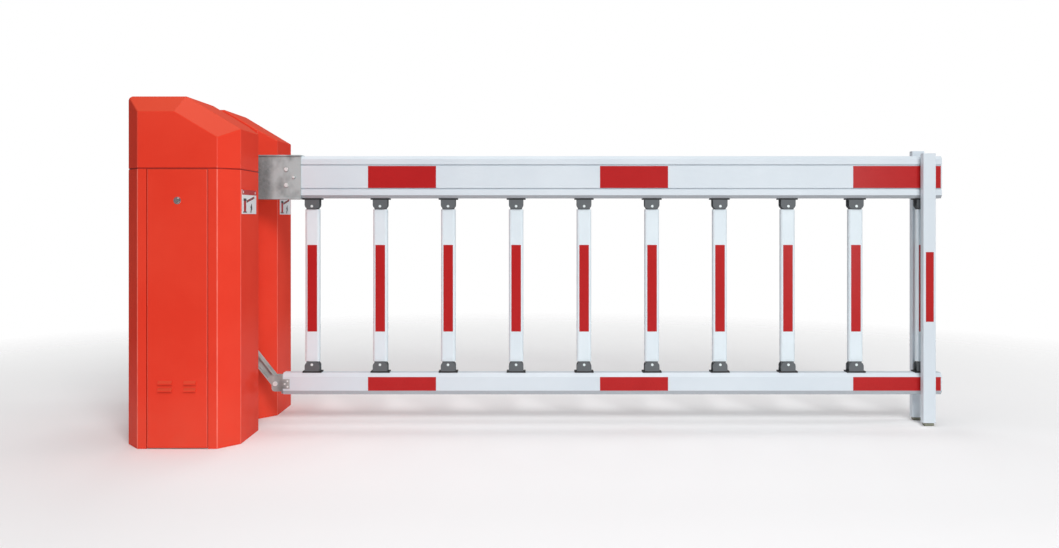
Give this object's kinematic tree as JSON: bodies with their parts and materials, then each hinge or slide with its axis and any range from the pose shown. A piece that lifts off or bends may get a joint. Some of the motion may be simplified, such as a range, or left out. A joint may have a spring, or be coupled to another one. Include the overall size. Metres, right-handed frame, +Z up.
{
  "type": "parking barrier gate",
  "caption": "Parking barrier gate with twin cabinets and a fenced boom whose rails and pinned pickets fold up together as a parallelogram.",
  "frame": {"origin": "on the floor, in the middle of the front cabinet's anchor bolts", "axes": "+X along the boom to its tip, +Z up, -Y towards the front cabinet's door"},
  "size_m": [2.505, 0.716, 1.02],
  "materials": {
    "cabinet_red": "semi-gloss orange-red powder coat on sheet steel",
    "rail_white": "white powder coat on extruded aluminium",
    "tape_red": "retroreflective dark red strip",
    "bracket_grey": "moulded dark grey nylon",
    "galvanized": "hot-dip galvanized, mottled grey",
    "steel": "machined steel",
    "zinc": "zinc-plated fasteners",
    "cast_iron": "painted grey cast iron",
    "frame_paint": "dark grey primer on steel plate",
    "gearbox_paint": "silver-grey painted aluminium casting",
    "motor_paint": "blue-grey painted aluminium",
    "box_grey": "light grey moulded plastic",
    "black_plastic": "black moulded plastic",
    "rubber": "black rubber",
    "chrome": "polished chrome",
    "plate_white": "printed pictogram plate",
    "spring_steel": "oiled spring steel",
    "foot_grey": "olive-grey plastic"
  },
  "bodies": {
    "cabinets": {"front_cabinet": "cabinet_red", "rear_cabinet": "cabinet_red", "front_hood": "cabinet_red", "rear_hood": "cabinet_red", "base_plates": "galvanized", "cable_grommets": "rubber", "side_plates": "plate_white", "machine_frames": "frame_paint", "shaft_bearings": "cast_iron", "lower_bearings": "cast_iron", "wall_bushes": "black_plastic", "gearbox": "gearbox_paint", "drive_motor": "motor_paint", "control_box": "box_grey", "control_box_lid": "box_grey", "limit_switches": "black_plastic", "travel_buffers": "rubber", "spring_anchor": "zinc", "balance_spring": "spring_steel"},
    "boom": {"main_shaft": "steel", "drive_lever": "steel", "spring_lever": "steel", "limit_cam": "black_plastic", "boom_clamp": "galvanized", "clamp_bolts": "zinc", "top_rail": "rail_white", "top_rail_cap": "rail_white", "top_rail_tapes": "tape_red", "top_brackets": "bracket_grey", "top_pins": "zinc"},
    "lower_arm": {"lower_shaft": "steel", "link_arm": "galvanized", "rail_end_bracket": "galvanized", "rail_end_fasteners": "zinc", "bottom_rail": "rail_white", "bottom_rail_cap": "rail_white", "bottom_rail_tapes": "tape_red", "bottom_brackets": "bracket_grey", "bottom_pins": "zinc"},
    "end_frame": {"end_picket": "rail_white", "front_leg": "rail_white", "rear_leg": "rail_white", "leg_feet": "foot_grey", "leg_caps": "rail_white"},
    "crank": {"output_crank": "steel"},
    "tie_rod": {"tie_rod": "zinc"},
    "spring_hanger": {"spring_hanger": "zinc"},
    "front_door": {"front_door": "cabinet_red"},
    "rear_door": {"rear_door": "cabinet_red"},
    "front_lock": {"front_lock": "chrome"},
    "rear_lock": {"rear_lock": "chrome"},
    "picket_1": {"picket_1": "rail_white"},
    "picket_2": {"picket_2": "rail_white"},
    "picket_3": {"picket_3": "rail_white"},
    "picket_4": {"picket_4": "rail_white"},
    "picket_5": {"picket_5": "rail_white"},
    "picket_6": {"picket_6": "rail_white"},
    "picket_7": {"picket_7": "rail_white"},
    "picket_8": {"picket_8": "rail_white"},
    "picket_9": {"picket_9": "rail_white"}
  },
  "joints": [
    {"name": "boom_lift", "type": "hinge", "parent": "cabinets", "child": "boom", "pos_m": [0.07, 0.2025, 0.7945], "axis": [0, -1, 0], "range_deg": [0, 76], "deforming": ["balance_spring"]},
    {"name": "lower_arm_lift", "type": "hinge", "parent": "cabinets", "child": "lower_arm", "pos_m": [0.07, 0.2025, 0.283], "axis": [0, -1, 0], "range_deg": [0, 76]},
    {"name": "end_frame_swing", "type": "hinge", "parent": "boom", "child": "end_frame", "pos_m": [2.2864, 0.2025, 0.701], "axis": [0, -1, 0], "range_deg": [-76, 0]},
    {"name": "crank_turn", "type": "hinge", "parent": "cabinets", "child": "crank", "pos_m": [0.07, 0.039, 0.45], "axis": [0, -1, 0], "range_deg": [0, 76]},
    {"name": "tie_rod_swing", "type": "hinge", "parent": "crank", "child": "tie_rod", "pos_m": [-0.00092, 0.051, 0.50541], "axis": [0, -1, 0], "range_deg": [-76, 0]},
    {"name": "spring_hanger_swing", "type": "hinge", "parent": "boom", "child": "spring_hanger", "pos_m": [-0.00092, 0.3345, 0.84991], "axis": [0, -1, 0], "range_deg": [-76, 0]},
    {"name": "picket_1_swing", "type": "hinge", "parent": "boom", "child": "picket_1", "pos_m": [0.31, 0.2025, 0.701], "axis": [0, -1, 0], "range_deg": [-76, 0]},
    {"name": "picket_2_swing", "type": "hinge", "parent": "boom", "child": "picket_2", "pos_m": [0.5296, 0.2025, 0.701], "axis": [0, -1, 0], "range_deg": [-76, 0]},
    {"name": "picket_3_swing", "type": "hinge", "parent": "boom", "child": "picket_3", "pos_m": [0.7492, 0.2025, 0.701], "axis": [0, -1, 0], "range_deg": [-76, 0]},
    {"name": "picket_4_swing", "type": "hinge", "parent": "boom", "child": "picket_4", "pos_m": [0.9688, 0.2025, 0.701], "axis": [0, -1, 0], "range_deg": [-76, 0]},
    {"name": "picket_5_swing", "type": "hinge", "parent": "boom", "child": "picket_5", "pos_m": [1.1884, 0.2025, 0.701], "axis": [0, -1, 0], "range_deg": [-76, 0]},
    {"name": "picket_6_swing", "type": "hinge", "parent": "boom", "child": "picket_6", "pos_m": [1.408, 0.2025, 0.701], "axis": [0, -1, 0], "range_deg": [-76, 0]},
    {"name": "picket_7_swing", "type": "hinge", "parent": "boom", "child": "picket_7", "pos_m": [1.6276, 0.2025, 0.701], "axis": [0, -1, 0], "range_deg": [-76, 0]},
    {"name": "picket_8_swing", "type": "hinge", "parent": "boom", "child": "picket_8", "pos_m": [1.8472, 0.2025, 0.701], "axis": [0, -1, 0], "range_deg": [-76, 0]},
    {"name": "picket_9_swing", "type": "hinge", "parent": "boom", "child": "picket_9", "pos_m": [2.0668, 0.2025, 0.701], "axis": [0, -1, 0], "range_deg": [-76, 0]},
    {"name": "front_door_tilt", "type": "hinge", "parent": "cabinets", "child": "front_door", "pos_m": [0, -0.146, 0.012], "axis": [1, 0, 0], "range_deg": [0, 35]},
    {"name": "rear_door_tilt", "type": "hinge", "parent": "cabinets", "child": "rear_door", "pos_m": [0, 0.551, 0.012], "axis": [-1, 0, 0], "range_deg": [0, 35]},
    {"name": "front_lock_turn", "type": "hinge", "parent": "front_door", "child": "front_lock", "pos_m": [0, -0.15, 0.713], "axis": [0, -1, 0], "range_deg": [0, 90]},
    {"name": "rear_lock_turn", "type": "hinge", "parent": "rear_door", "child": "rear_lock", "pos_m": [0, 0.555, 0.713], "axis": [0, -1, 0], "range_deg": [0, 90]}
  ],
  "couplings": [
    {"joint": "lower_arm_lift", "follows": "boom_lift", "ratio": 1},
    {"joint": "end_frame_swing", "follows": "boom_lift", "ratio": -1},
    {"joint": "crank_turn", "follows": "boom_lift", "ratio": 1},
    {"joint": "tie_rod_swing", "follows": "boom_lift", "ratio": -1},
    {"joint": "spring_hanger_swing", "follows": "boom_lift", "ratio": -1},
    {"joint": "picket_1_swing", "follows": "boom_lift", "ratio": -1},
    {"joint": "picket_2_swing", "follows": "boom_lift", "ratio": -1},
    {"joint": "picket_3_swing", "follows": "boom_lift", "ratio": -1},
    {"joint": "picket_4_swing", "follows": "boom_lift", "ratio": -1},
    {"joint": "picket_5_swing", "follows": "boom_lift", "ratio": -1},
    {"joint": "picket_6_swing", "follows": "boom_lift", "ratio": -1},
    {"joint": "picket_7_swing", "follows": "boom_lift", "ratio": -1},
    {"joint": "picket_8_swing", "follows": "boom_lift", "ratio": -1},
    {"joint": "picket_9_swing", "follows": "boom_lift", "ratio": -1}
  ]
}
